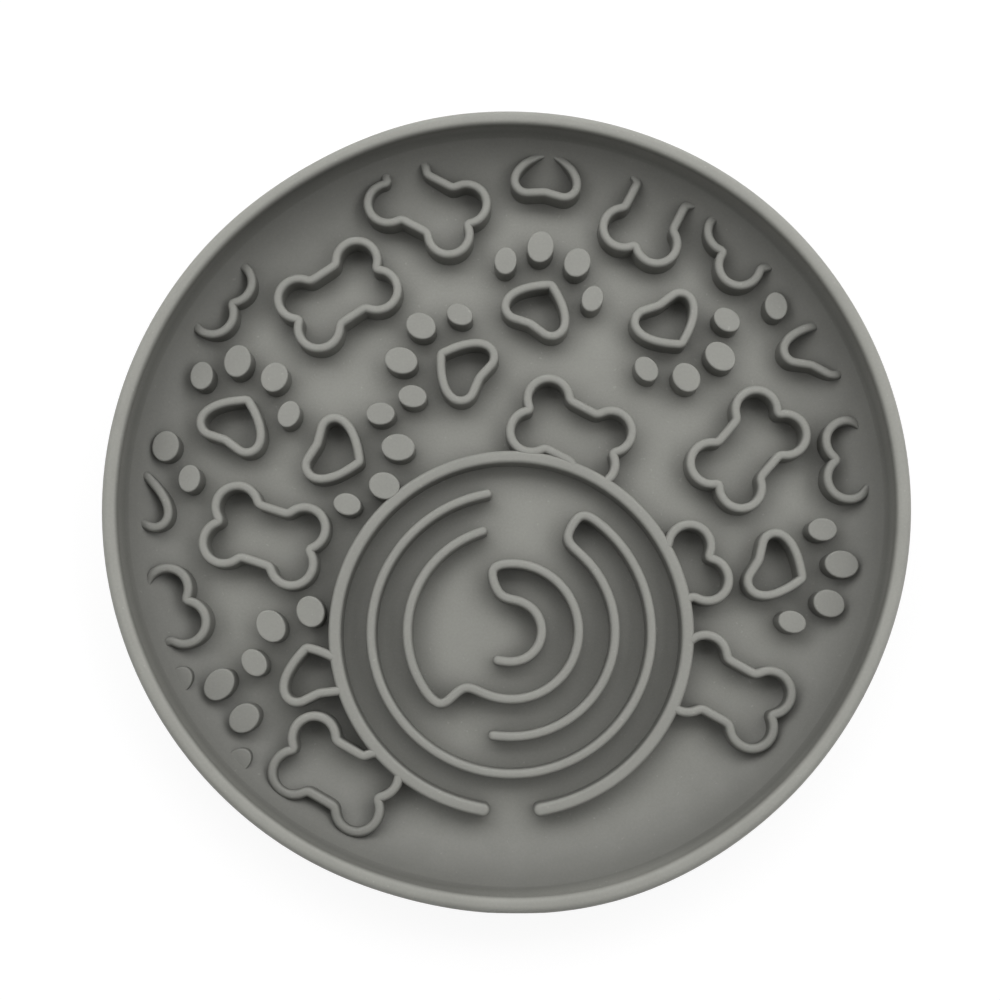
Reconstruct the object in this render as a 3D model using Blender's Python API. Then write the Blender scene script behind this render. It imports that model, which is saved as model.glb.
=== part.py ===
"""Slow-feeder mat: a round silicone dish with a beaded rim, moulded bones, paw prints and a round maze.

Metres, +Z up. The origin is the centre of the plane that the suction cups stand on.
Seen from above, +X is to the right and +Y towards the far edge.
"""

import math

import bmesh
import bpy
from mathutils import Vector
from mathutils.geometry import interpolate_bezier, tessellate_polygon

MM = 0.001

# Dish: a flat floor, a cove rising round it, a short wall and a rounded bead on top
OUTER_DIAMETER = 200.0 * MM
SHEET_THICKNESS = 2.5 * MM
COVE_RUN = 17.3 * MM
COVE_END_SLOPE_DEG = 50.0
RIM_WALL_HEIGHT = 3.3 * MM
RIM_WALL_DRAFT = 1.4 * MM
RIM_BEAD_WIDTH = 4.0 * MM
BEAD_SQUARENESS = 3.0
FLOOR_JOINT_GAP = 0.3 * MM

# Suction cups under the floor
CUP_HEIGHT = 3.5 * MM
CUP_DIAMETER = 20.0 * MM
CUP_NECK_DIAMETER = 10.0 * MM
CUP_NECK_LENGTH = 0.8 * MM
CUP_LIP_WIDTH = 0.9 * MM
CUP_LIP_HEIGHT = 0.6 * MM
CUP_HOLLOW_DEPTH = 1.9 * MM
CUP_HOLLOW_SHARES = (0.7, 0.35)
CUP_RING_COUNT = 8
CUP_FLOOR_MARGIN = 11.3 * MM

# Raised walls and studs on the floor
RIDGE_HEIGHT = 6.0 * MM
RIDGE_WIDTH = 2.35 * MM
RIDGE_EDGE_RUN = 0.55 * MM
RIDGE_EDGE_DROP = 0.9 * MM
RIDGE_FADE_HEIGHT = 1.2 * MM
RIDGE_LEAST_STEP = 0.12 * MM
STUD_EDGE_ROUND = 0.45 * MM
SEAT_GAP = 0.3 * MM
WALL_GAP = 0.3 * MM
CORNER_RADIUS = 1.6 * MM

# How far outside the line where walls run out the middle of the outermost bone or paw print lies
PATTERN_OVERHANG = 8.0 * MM

# Bone outline along the middle of its wall
BONE_LENGTH = 28.8 * MM
BONE_SHAFT_WIDTH = 13.8 * MM
BONE_LOBE_RADIUS = 5.4 * MM
BONE_LOBE_SPREAD = 9.5 * MM

# Paw print: a heart-shaped pad outline and four oval toes, outer left first
PAD_LENGTH = 11.7 * MM
PAD_WIDTH = 16.4 * MM
PAD_LOBE_RADIUS = 3.35 * MM
PAD_NOTCH_DEPTH = 0.8 * MM
PAD_LOBE_END_DEG = 194.0
PAD_TIP_RADIUS = 1.0 * MM
PAD_TIP_SWELL = (2.0 * MM, 3.55 * MM)
PAD_SIDE_SWELL = 3.7 * MM
TOE_LENGTHS = (7.4 * MM, 8.6 * MM, 8.0 * MM, 7.1 * MM)
TOE_WIDTHS = (5.9 * MM, 7.0 * MM, 6.9 * MM, 5.6 * MM)
TOE_DISTANCES = (14.6 * MM, 15.2 * MM, 14.5 * MM, 13.4 * MM)
TOE_ANGLES_DEG = (66.3, 27.8, -13.1, -56.7)
TOE_TURNS_DEG = (23.4, 17.5, 4.7, 7.6)

# Round maze: lanes of equal pitch round a small centre; each wall lists its lanes and their angles
MAZE_LANES = 5
MAZE_CENTRE = (1.2 * MM, -33.5 * MM)
MAZE_CENTRE_RADIUS = 8.0 * MM
MAZE_LANE_PITCH = 9.0 * MM
MAZE_RING_WIDTH = 3.2 * MM
MAZE_WALL_WIDTH = 2.4 * MM
MAZE_DOOR_WIDTH = 14.0 * MM
MAZE_END_ROUND = 0.9 * MM
MAZE_END_NARROWING = 0.5
MAZE_DOOR_DEG = -90.0
MAZE_MIDDLE_TURNS_DEG = ((3, 100.0, 420.0), (2, 60.0, -100.0))
MAZE_CENTRE_TURNS_DEG = ((2, 106.0, 228.0), (1, 228.0, 470.0), (0, 110.0, -115.0))

# Where the bones lie: x, y and the turn of their length from +X in degrees
BONES = (
    (-20.6 * MM, 77.5 * MM, -28.3),
    (-43.5 * MM, 53.0 * MM, 34.5),
    (-81.3 * MM, 56.2 * MM, -28.3),
    (38.9 * MM, 76.8 * MM, 63.1),
    (67.8 * MM, 67.7 * MM, 16.0),
    (16.5 * MM, 17.0 * MM, -28.0),
    (61.5 * MM, 12.5 * MM, 49.2),
    (95.6 * MM, 9.7 * MM, 0.0),
    (40.1 * MM, -20.4 * MM, 26.2),
    (54.9 * MM, -48.4 * MM, -29.4),
    (-60.9 * MM, -9.6 * MM, -17.9),
    (-90.3 * MM, -31.8 * MM, 30.0),
    (-41.9 * MM, -68.3 * MM, -29.5),
)

# Where the paw prints lie: x, y, the way that their toes point, whether the pad shows and which toes do
PAWS = (
    (-68.7 * MM, 20.0 * MM, 62.5, True, (0, 1, 2, 3)),
    (8.9 * MM, 50.4 * MM, 62.2, True, (0, 1, 2, 3)),
    (-11.8 * MM, 34.1 * MM, 147.5, True, (0, 1, 2, 3)),
    (-42.6 * MM, 11.4 * MM, -22.6, True, (0, 1, 2, 3)),
    (10.8 * MM, 86.4 * MM, 82.6, True, ()),
    (80.2 * MM, 39.8 * MM, 70.8, True, (0,)),
    (42.2 * MM, 44.9 * MM, -61.7, True, (0, 1, 2, 3)),
    (68.7 * MM, -18.1 * MM, -23.4, True, (0, 1, 2, 3)),
    (-92.6 * MM, 0.0 * MM, 77.7, True, (2, 3)),
    (-48.0 * MM, -43.2 * MM, 106.4, True, (0, 1, 2)),
    (-78.1 * MM, -60.1 * MM, 34.2, False, (1, 2)),
)

# Colour and roughness of each kind of piece
FLOOR_LOOK = ((0.30, 0.30, 0.275), 0.62)
RIM_LOOK = ((0.33, 0.33, 0.305), 0.58)
WALL_LOOK = ((0.34, 0.34, 0.315), 0.60)
STUD_LOOK = ((0.35, 0.35, 0.32), 0.60)

# Fineness of the round stretches
ROUND_STEPS = 64
CUP_STEPS = 12
BACK_STEPS = 4
BEAD_STEPS = (3, 2, 3)
COVE_STEPS = 5
LOBE_STEPS = 6
PAD_STEPS = 5
TOE_STEPS = 12
MAZE_ARC_SAG = 0.08 * MM

# Limits of the shaping steps
SHARP_DEG = 40.0
COVE_REACH = 0.98
CORNER_REACH = 0.6
LEAST_INSET = 0.4
HALVINGS = 40
SLIDES = 6
GLANCING = 0.3

# Levels and radii that follow from the sizes above
COVE_RADIUS = COVE_RUN / math.sin(math.radians(COVE_END_SLOPE_DEG))
COVE_HEIGHT = COVE_RADIUS * (1 - math.cos(math.radians(COVE_END_SLOPE_DEG)))
BEAD_RADIUS = RIM_BEAD_WIDTH / 2
BEAD_CENTRE = OUTER_DIAMETER / 2 - BEAD_RADIUS
FLAT_RADIUS = BEAD_CENTRE - BEAD_RADIUS - RIM_WALL_DRAFT - COVE_RUN
FLOOR_TOP = CUP_HEIGHT + SHEET_THICKNESS
BEAD_LEVEL = FLOOR_TOP + COVE_HEIGHT + RIM_WALL_HEIGHT
CUP_RING_RADIUS = FLAT_RADIUS - CUP_FLOOR_MARGIN - CUP_DIAMETER / 2
RIDGE_TOP = FLOOR_TOP + RIDGE_HEIGHT
FADE_DEPTH = COVE_RADIUS - (RIDGE_HEIGHT - RIDGE_FADE_HEIGHT - SEAT_GAP)
FADE_RADIUS = FLAT_RADIUS + math.sqrt(COVE_RADIUS**2 - FADE_DEPTH**2)
PATTERN_REACH = max(math.hypot(x, y) for x, y, *_ in BONES + PAWS)
PATTERN_SCALE = (FADE_RADIUS + PATTERN_OVERHANG) / PATTERN_REACH
MAZE_MIDDLE = (PATTERN_SCALE * MAZE_CENTRE[0], PATTERN_SCALE * MAZE_CENTRE[1])
MAZE_RADII = tuple(
    PATTERN_SCALE * (MAZE_CENTRE_RADIUS + MAZE_LANE_PITCH * lane) for lane in range(MAZE_LANES)
)
MAZE_KEEP_OUT = MAZE_RADII[-1] + MAZE_RING_WIDTH / 2 + WALL_GAP


def clear_scene():
    for item in list(bpy.data.objects):
        bpy.data.objects.remove(item, do_unlink=True)


def make_material(name, colour, roughness):
    made = bpy.data.materials.new(name)
    made.use_nodes = True
    shader = made.node_tree.nodes["Principled BSDF"]
    shader.inputs["Base Color"].default_value = (*colour, 1.0)
    shader.inputs["Roughness"].default_value = roughness
    return made


def add_part(name, points, faces, look, at=(0.0, 0.0)):
    """Adds one named piece whose origin stands at x, y on the ground plane."""
    mesh = bpy.data.meshes.new(name)
    mesh.from_pydata([(x - at[0], y - at[1], z) for x, y, z in points], [], faces)
    shape = bmesh.new()
    shape.from_mesh(mesh)
    bmesh.ops.recalc_face_normals(shape, faces=shape.faces)
    shape.to_mesh(mesh)
    shape.free()
    mesh.shade_smooth()
    mesh.set_sharp_from_angle(angle=math.radians(SHARP_DEG))
    mesh.materials.append(look)
    part = bpy.data.objects.new(name, mesh)
    part.location = (*at, 0.0)
    bpy.context.scene.collection.objects.link(part)


def loft(rings, looped):
    """Skins a row of rings of equal length; a row that doesn't loop gets a cap at each end."""
    size = len(rings[0])
    points = [point for ring in rings for point in ring]
    faces = []
    for first in range(len(rings) if looped else len(rings) - 1):
        second = (first + 1) % len(rings)
        for j in range(size):
            k = (j + 1) % size
            faces.append((first * size + j, second * size + j, second * size + k, first * size + k))
    if not looped:
        faces.append(tuple(range(size)))
        faces.append(tuple(range(len(points) - size, len(points))))
    return points, faces


# Dish

def cove_run_at(radius):
    """How far a radius lies out on the cove, kept short of its upright end."""
    return min(max(radius - FLAT_RADIUS, 0.0), COVE_REACH * COVE_RADIUS)


def seat_height(x, y):
    """Height of the foot of a wall at x, y: the dish surface plus the seat gap, square to the slope."""
    fall = math.sqrt(COVE_RADIUS**2 - cove_run_at(math.hypot(x, y)) ** 2)
    return FLOOR_TOP + COVE_RADIUS - fall + SEAT_GAP * COVE_RADIUS / fall


def circle(centre, radius, height, steps):
    ring = []
    for step in range(steps):
        angle = 2 * math.pi * step / steps
        ring.append((centre[0] + radius * math.cos(angle), centre[1] + radius * math.sin(angle), height))
    return ring


def bead_point(turn):
    """A spot on the bead, by its angle from straight out; the inner shoulder is squarer than a circle."""
    across = math.cos(turn)
    up = math.sin(turn)
    if across < 0 < up:
        across = -(abs(across) ** (2 / BEAD_SQUARENESS))
        up = up ** (2 / BEAD_SQUARENESS)
    return BEAD_CENTRE + BEAD_RADIUS * across, BEAD_LEVEL + BEAD_RADIUS * up


def rim_profile():
    """Closed outline of cove, wall and bead, as radius and height, up the back and down the inside."""
    level = FLOOR_TOP + COVE_RADIUS
    back = COVE_RADIUS + SHEET_THICKNESS
    end = math.radians(COVE_END_SLOPE_DEG)
    start = math.asin(FLOOR_JOINT_GAP / COVE_RADIUS)
    outline = []
    for step in range(BACK_STEPS + 1):
        turn = start + (end - start) * step / BACK_STEPS
        outline.append((FLAT_RADIUS + back * math.sin(turn), level - back * math.cos(turn)))
    climb = math.atan2(RIM_WALL_HEIGHT, RIM_WALL_DRAFT)
    wall_foot = (FLAT_RADIUS + COVE_RUN, FLOOR_TOP + COVE_HEIGHT)
    outline.append((
        wall_foot[0] + SHEET_THICKNESS * math.sin(climb),
        wall_foot[1] - SHEET_THICKNESS * math.cos(climb),
    ))
    beyond_bead = SHEET_THICKNESS / BEAD_RADIUS - math.sin(climb)
    underside = climb - math.pi / 2 - math.acos(max(-1.0, min(1.0, beyond_bead)))
    bounds = (underside, 0.0, math.pi / 2, math.pi)
    for first, last, steps in zip(bounds, bounds[1:], BEAD_STEPS):
        outline += [bead_point(first + (last - first) * step / steps) for step in range(steps)]
    outline.append(bead_point(math.pi))
    for step in range(COVE_STEPS + 1):
        turn = end + (start - end) * step / COVE_STEPS
        outline.append((FLAT_RADIUS + COVE_RADIUS * math.sin(turn), level - COVE_RADIUS * math.cos(turn)))
    return outline


def make_rim(look):
    rings = []
    for step in range(ROUND_STEPS):
        angle = 2 * math.pi * step / ROUND_STEPS
        rings.append([(r * math.cos(angle), r * math.sin(angle), z) for r, z in rim_profile()])
    add_part("rim_ring", *loft(rings, True), look)


def cup_centres():
    """One cup in the middle and a ring of them round it."""
    ring = circle((0.0, 0.0), CUP_RING_RADIUS, 0.0, CUP_RING_COUNT)
    return [(0.0, 0.0)] + [(x, y) for x, y, _ in ring]


def cup_profile():
    """Outline of a cup from its neck at the sheet down, round the lip and up into the hollow."""
    lip = CUP_DIAMETER / 2
    hollow = lip - CUP_LIP_WIDTH
    outline = [
        (CUP_NECK_DIAMETER / 2, CUP_HEIGHT),
        (CUP_NECK_DIAMETER / 2, CUP_HEIGHT - CUP_NECK_LENGTH),
        (lip, CUP_LIP_HEIGHT),
        (lip, 0.0),
        (hollow, 0.0),
    ]
    for share in CUP_HOLLOW_SHARES:
        outline.append((hollow * share, CUP_HOLLOW_DEPTH * (1 - share**2)))
    return outline


def make_floor(look):
    """The flat floor with its suction cups, one moulding."""
    levels = (FLOOR_TOP, CUP_HEIGHT)
    points, faces = loft([circle((0.0, 0.0), FLAT_RADIUS, level, ROUND_STEPS) for level in levels], False)
    faces.pop()
    openings = [list(range(ROUND_STEPS, 2 * ROUND_STEPS))]
    for centre in cup_centres():
        first = len(points)
        rings = [circle(centre, radius, level, CUP_STEPS) for radius, level in cup_profile()]
        cup_points, cup_faces = loft(rings, False)
        neck_cap = cup_faces[-2]
        cup_faces.remove(neck_cap)
        points += cup_points
        faces += [tuple(first + k for k in face) for face in cup_faces]
        openings.append([first + k for k in neck_cap])
    order = [index for loop in openings for index in loop]
    for triangle in tessellate_polygon([[Vector(points[k]) for k in loop] for loop in openings]):
        faces.append(tuple(order[k] for k in triangle))
    add_part("floor_disc", points, faces, look)


# Paths of the raised walls

def arc(centre, radius, start_deg, end_deg, steps):
    path = []
    for step in range(steps + 1):
        angle = math.radians(start_deg + (end_deg - start_deg) * step / steps)
        path.append((centre[0] + radius * math.cos(angle), centre[1] + radius * math.sin(angle)))
    return path


def place(path, x, y, turn_deg):
    """Turns a drawn outline, moves it to its place in the pattern and fits it to the dish."""
    cos = PATTERN_SCALE * math.cos(math.radians(turn_deg))
    sin = PATTERN_SCALE * math.sin(math.radians(turn_deg))
    x *= PATTERN_SCALE
    y *= PATTERN_SCALE
    return [(x + px * cos - py * sin, y + px * sin + py * cos) for px, py in path]


def middle_of(path):
    return tuple(sum((Vector(spot) for spot in path), Vector((0.0, 0.0))) / len(path))


def turn_between(before, here, after):
    first = math.atan2(here[1] - before[1], here[0] - before[0])
    second = math.atan2(after[1] - here[1], after[0] - here[0])
    return (second - first + math.pi) % (2 * math.pi) - math.pi


def round_corners(path, closed, radius):
    """Replaces each sharp corner by a bend of three points."""
    rounded = []
    for k, here in enumerate(path):
        before = path[k - 1]
        after = path[(k + 1) % len(path)]
        turn = abs(turn_between(before, here, after))
        is_end = not closed and k in (0, len(path) - 1)
        if is_end or turn < math.radians(SHARP_DEG):
            rounded.append(here)
            continue
        gaps = (math.dist(before, here), math.dist(here, after))
        reach = min(radius * math.tan(turn / 2), CORNER_REACH * min(gaps))
        start = Vector(here).lerp(Vector(before), reach / gaps[0])
        end = Vector(here).lerp(Vector(after), reach / gaps[1])
        middle = start.lerp(end, 0.5).lerp(Vector(here), 0.5)
        rounded += [tuple(point) for point in (start, middle, end)]
    return rounded


def bone_path():
    """A bone along +X: two straight sides joined by a pair of lobes at each end."""
    lobe_x = BONE_LENGTH / 2 - BONE_LOBE_RADIUS
    lobe_y = BONE_LOBE_SPREAD / 2
    side = math.degrees(math.asin((BONE_SHAFT_WIDTH / 2 - lobe_y) / BONE_LOBE_RADIUS))
    notch = math.degrees(math.asin(lobe_y / BONE_LOBE_RADIUS))
    path = arc((lobe_x, -lobe_y), BONE_LOBE_RADIUS, side - 180, notch, LOBE_STEPS)
    path += arc((lobe_x, lobe_y), BONE_LOBE_RADIUS, -notch, 180 - side, LOBE_STEPS)[1:]
    path += [(-x, -y) for x, y in path]
    return round_corners(path, True, CORNER_RADIUS)


def pad_path():
    """A pad with its tip on +X: sides that swell to two lobes and a shallow notch behind."""
    tip = PAD_LENGTH / 2
    lobe_x = PAD_LOBE_RADIUS - tip - PAD_NOTCH_DEPTH
    lobe_y = PAD_WIDTH / 2 - PAD_LOBE_RADIUS
    swell = (
        Vector((tip, 0.0)),
        Vector((tip - PAD_TIP_SWELL[0], PAD_TIP_SWELL[1])),
        Vector((lobe_x + PAD_SIDE_SWELL, PAD_WIDTH / 2)),
        Vector((lobe_x, PAD_WIDTH / 2)),
    )
    upper = [tuple(point) for point in interpolate_bezier(*swell, PAD_STEPS)]
    upper += arc((lobe_x, lobe_y), PAD_LOBE_RADIUS, 90, PAD_LOBE_END_DEG, PAD_STEPS)[1:]
    lower = [(x, -y) for x, y in reversed(upper[1:])]
    return round_corners(upper + [(-tip, 0.0)] + lower, True, PAD_TIP_RADIUS)


# Where a wall or stud has to stop for the rim or the maze

def clear_of_maze(point):
    return math.dist(point, MAZE_MIDDLE) - MAZE_KEEP_OUT


def clear_of_rim(point):
    return FADE_RADIUS - math.hypot(*point)


def room(point):
    return min(clear_of_maze(point), clear_of_rim(point))


def stop_point(inside, outside):
    """The last free point on the way from a free point to a covered one."""
    inside = Vector(inside)
    outside = Vector(outside)
    for _ in range(HALVINGS):
        middle = inside.lerp(outside, 0.5)
        if room(middle) > 0:
            inside = middle
        else:
            outside = middle
    return tuple(inside)


def path_length(path):
    return sum(math.dist(a, b) for a, b in zip(path, path[1:]))


def free_stretch(path):
    """The longest stretch of a closed path clear of rim and maze, and whether it is still closed."""
    if all(room(point) > 0 for point in path):
        return path, True
    count = len(path)
    stretches = [[]]
    for k in range(count):
        if room(path[k]) > 0 or room(path[(k + 1) % count]) <= 0:
            continue
        stretch = [stop_point(path[(k + 1) % count], path[k])]
        step = k + 1
        while room(path[step % count]) > 0:
            stretch.append(path[step % count])
            step += 1
        stretch.append(stop_point(path[(step - 1) % count], path[step % count]))
        stretches.append(stretch)
    longest = max(stretches, key=path_length)
    ends = longest[:1] + longest[-1:]
    inner = [p for p in longest[1:-1] if min(math.dist(p, end) for end in ends) > RIDGE_WIDTH / 4]
    return ends[:1] + inner + ends[1:], False


def trim(outline, clearance):
    """Cuts an outline back to where the clearance is positive."""
    kept = []
    for here, after in zip(outline, outline[1:] + outline[:1]):
        start = clearance(here)
        end = clearance(after)
        if start > 0:
            kept.append(here)
        if start * end < 0:
            kept.append(tuple(Vector(here).lerp(Vector(after), start / (start - end))))
    return kept


# Solids of the raised walls and studs

def travel_directions(path, closed):
    """The way that a wall runs at each point, and how far a mitre widens it there."""
    ways = []
    for k, here in enumerate(path):
        before = here if not closed and k == 0 else path[k - 1]
        after = here if not closed and k == len(path) - 1 else path[(k + 1) % len(path)]
        into = (Vector(here) - Vector(before)).normalized()
        out = (Vector(after) - Vector(here)).normalized()
        along = (into + out).normalized()
        ways.append((along, 1 / max(along.dot(into), along.dot(out))))
    return ways


def meet_maze(spot, along):
    """Slides an end point along its wall until it stands at the gap beside the outer maze ring."""
    for _ in range(SLIDES):
        outward = (Vector(spot) - Vector(MAZE_MIDDLE)).normalized()
        approach = outward.dot(along)
        if abs(approach) < GLANCING:
            break
        slide = max(-RIDGE_WIDTH, min(RIDGE_WIDTH, -clear_of_maze(spot) / approach))
        spot = (spot[0] + along.x * slide, spot[1] + along.y * slide)
    return spot


def push_clear(spot):
    """Moves a point that would stand in the outer maze ring straight out to the gap beside it."""
    if clear_of_maze(spot) >= 0:
        return spot
    outward = (Vector(spot) - Vector(MAZE_MIDDLE)).normalized()
    return tuple(Vector(MAZE_MIDDLE) + outward * MAZE_KEEP_OUT)


def cross_spots(path, closed, width):
    """At each point of a path: the way that the wall runs, and its foot, shoulder and crest spots across."""
    half = width / 2
    crest = half - RIDGE_EDGE_RUN
    offsets = (-half, -half, -crest, crest, half, half)
    for here, (along, widen) in zip(path, travel_directions(path, closed)):
        across = Vector((-along.y, along.x)) * widen
        yield along, [tuple(Vector(here) + across * offset) for offset in offsets]


def wall_ring(spots):
    """Ring across a wall, from one foot over the top to the other; the feet follow the dish."""
    drops = (None, RIDGE_EDGE_DROP, 0.0, 0.0, RIDGE_EDGE_DROP, None)
    least_steps = (0, 1, 2, 2, 1, 0)
    ring = []
    for spot, drop, steps in zip(spots, drops, least_steps):
        foot = seat_height(*spot)
        level = foot if drop is None else max(RIDGE_TOP - drop, foot + steps * RIDGE_LEAST_STEP)
        ring.append((*spot, level))
    return ring


def make_motif_wall(name, outline, look):
    """The wall of a bone or pad, as far as the rim and the maze leave room for it."""
    path, closed = free_stretch(outline)
    rings = []
    for here, (along, spots) in zip(path, cross_spots(path, closed, RIDGE_WIDTH)):
        if abs(clear_of_maze(here)) < RIDGE_LEAST_STEP:
            spots = [meet_maze(spot, along) for spot in spots]
        rings.append(wall_ring([push_clear(spot) for spot in spots]))
    add_part(name, *loft(rings, closed), look, middle_of(outline))


def make_maze_wall(name, path, width, look):
    """A free-standing wall of the maze, with its ends drawn in."""
    path = round_corners(path, False, CORNER_RADIUS)
    blunt = MAZE_END_ROUND / math.dist(path[0], path[1])
    first = Vector(path[0]).lerp(Vector(path[1]), blunt)
    last = Vector(path[-1]).lerp(Vector(path[-2]), blunt)
    path = [path[0], tuple(first)] + path[1:-1] + [tuple(last), path[-1]]
    rings = []
    for k, (here, (_, spots)) in enumerate(zip(path, cross_spots(path, False, width))):
        if k in (0, len(path) - 1):
            spots = [tuple(Vector(here).lerp(Vector(spot), MAZE_END_NARROWING)) for spot in spots]
        rings.append(wall_ring(spots))
    add_part(name, *loft(rings, False), look, MAZE_MIDDLE)


def make_stud(name, outline, look):
    """A straight-sided stud with a softened top edge; its foot follows the dish."""
    foot = [(*spot, seat_height(*spot)) for spot in outline]
    shoulder = [(x, y, max(RIDGE_TOP - STUD_EDGE_ROUND, z + RIDGE_LEAST_STEP)) for x, y, z in foot]
    middle = middle_of(outline)
    top = []
    for spot in outline:
        ray = Vector(spot) - Vector(middle)
        inset = Vector(middle) + ray * max(1 - STUD_EDGE_ROUND / ray.length, LEAST_INSET)
        top.append((*inset, RIDGE_TOP))
    add_part(name, *loft([foot, shoulder, top], False), look, middle)


# The pieces on the floor

def make_bones(look):
    for number, (x, y, turn) in enumerate(BONES, 1):
        make_motif_wall(f"bone_wall_{number:02d}", place(bone_path(), x, y, turn), look)


def toe_outline(kind, x, y, turn):
    """Oval outline of one of a paw's four toes."""
    ray = math.radians(turn + TOE_ANGLES_DEG[kind])
    x += TOE_DISTANCES[kind] * math.cos(ray)
    y += TOE_DISTANCES[kind] * math.sin(ray)
    length, width = TOE_LENGTHS[kind], TOE_WIDTHS[kind]
    oval = [(length / 2 * px, width / 2 * py) for px, py, _ in circle((0.0, 0.0), 1.0, 0.0, TOE_STEPS)]
    return place(oval, x, y, turn + TOE_TURNS_DEG[kind])


def make_paws(pad_look, toe_look):
    toe_number = 0
    for number, (x, y, turn, has_pad, toes) in enumerate(PAWS, 1):
        if has_pad:
            make_motif_wall(f"paw_pad_{number:02d}", place(pad_path(), x, y, turn), pad_look)
        for kind in toes:
            outline = trim(trim(toe_outline(kind, x, y, turn), clear_of_maze), clear_of_rim)
            toe_number += 1
            make_stud(f"toe_stud_{toe_number:02d}", outline, toe_look)


def maze_path(stretches):
    """A run of arcs, each given as its lane and the angles where it starts and ends."""
    path = []
    for lane, start_deg, end_deg in stretches:
        radius = MAZE_RADII[lane]
        step_deg = math.degrees(2 * math.acos(1 - MAZE_ARC_SAG / radius))
        steps = math.ceil(abs(end_deg - start_deg) / step_deg)
        path += arc(MAZE_MIDDLE, radius, start_deg, end_deg, steps)
    return path


def make_maze(look):
    """An outer ring with a door at the near side, and two winding walls inside it."""
    door = math.degrees(MAZE_DOOR_WIDTH / MAZE_RADII[-1])
    ring = ((MAZE_LANES - 1, MAZE_DOOR_DEG + door / 2, MAZE_DOOR_DEG + 360 - door / 2),)
    make_maze_wall("maze_outer_ring", maze_path(ring), MAZE_RING_WIDTH, look)
    make_maze_wall("maze_middle_wall", maze_path(MAZE_MIDDLE_TURNS_DEG), MAZE_WALL_WIDTH, look)
    make_maze_wall("maze_centre_wall", maze_path(MAZE_CENTRE_TURNS_DEG), MAZE_WALL_WIDTH, look)


def main():
    clear_scene()
    wall_look = make_material("silicone_walls", *WALL_LOOK)
    stud_look = make_material("silicone_studs", *STUD_LOOK)
    make_floor(make_material("silicone_floor", *FLOOR_LOOK))
    make_rim(make_material("silicone_rim", *RIM_LOOK))
    make_bones(wall_look)
    make_paws(wall_look, stud_look)
    make_maze(wall_look)


main()
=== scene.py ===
"""Looks of the slow-feeder mat: a soft grey silicone dish with raised bones, paw prints and a round maze.

Metres, in the frame of the solids: +Z up, +Y towards the far edge. Most sizes repeat the part's own. Here the
edges are softer, the rim sways a little, and the walls run on into the cove and the maze ring.
"""

import math

import bmesh
import bpy
import numpy as np
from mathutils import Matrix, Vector


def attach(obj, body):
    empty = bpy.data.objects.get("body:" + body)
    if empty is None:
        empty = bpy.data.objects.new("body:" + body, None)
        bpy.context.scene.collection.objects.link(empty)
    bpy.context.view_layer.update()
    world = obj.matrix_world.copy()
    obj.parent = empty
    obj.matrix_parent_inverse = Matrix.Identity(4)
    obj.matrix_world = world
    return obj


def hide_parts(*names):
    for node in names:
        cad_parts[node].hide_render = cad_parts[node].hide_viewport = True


MM = 0.001

# Dish
OUTER_RADIUS = 100.0 * MM
SHEET_THICKNESS = 2.5 * MM
COVE_RUN = 17.3 * MM
COVE_END_SLOPE_DEG = 50.0
RIM_WALL_HEIGHT = 3.3 * MM
RIM_WALL_DRAFT = 1.4 * MM
BEAD_RADIUS = 2.0 * MM
BEAD_SQUARENESS = 3.0
MOULD_LINE_DEG = -16.0
MOULD_LINE_SPREAD_DEG = 3.5
MOULD_LINE_DEPTH = 0.1 * MM

# Where the soft rim bulges or draws in: the angle in degrees, how far, and its spread in degrees
RIM_SWAYS = (
    (50.0, 0.35 * MM, 13.0),
    (88.0, -0.2 * MM, 10.0),
    (121.0, -0.85 * MM, 12.0),
    (146.0, -0.3 * MM, 14.0),
    (254.0, -0.3 * MM, 8.0),
    (285.0, 0.68 * MM, 11.0),
    (330.0, -0.45 * MM, 13.0),
)

# What keeps the swaying rim inside the box of the solids
HAIR = 0.001 * MM

# Suction cups under the floor
CUP_HEIGHT = 3.5 * MM
CUP_RADIUS = 10.0 * MM
CUP_NECK_RADIUS = 5.0 * MM
CUP_NECK_LENGTH = 0.8 * MM
CUP_LIP_WIDTH = 0.9 * MM
CUP_LIP_HEIGHT = 0.6 * MM
CUP_HOLLOW_DEPTH = 1.9 * MM
CUP_RING_RADIUS = 56.0 * MM
CUP_RING_COUNT = 8
CUP_SOFTNESS = 0.22 * MM

# Raised walls and studs
RIDGE_HEIGHT = 6.0 * MM
RIDGE_WIDTH = 2.35 * MM
RIDGE_EDGE_RUN = 0.95 * MM
RIDGE_EDGE_DROP = 0.9 * MM
STUD_EDGE_ROUND = 0.45 * MM
STUD_INSET_LIMIT = 0.5
STUD_FLAT_SHARE = 0.93
STUD_LIMIT = 94.0 * MM

# How far feet go into the dish, how far a hidden top stays below its surface, and the least side of a wall
SINK = 0.5 * MM
HIDDEN_SINK = 1.0 * MM
LEAST_SIDE = 0.2 * MM

# Where walls run out in the cove: their tops sink towards it, and the line lies a little off the middle
FADE_CENTRE = np.array((-0.5, -1.1)) * MM
FADE_START = 89.0 * MM
FADE_END = 92.5 * MM
FADE_DEPTH = 1.0 * MM
FADE_LIMIT = 93.3 * MM

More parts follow.
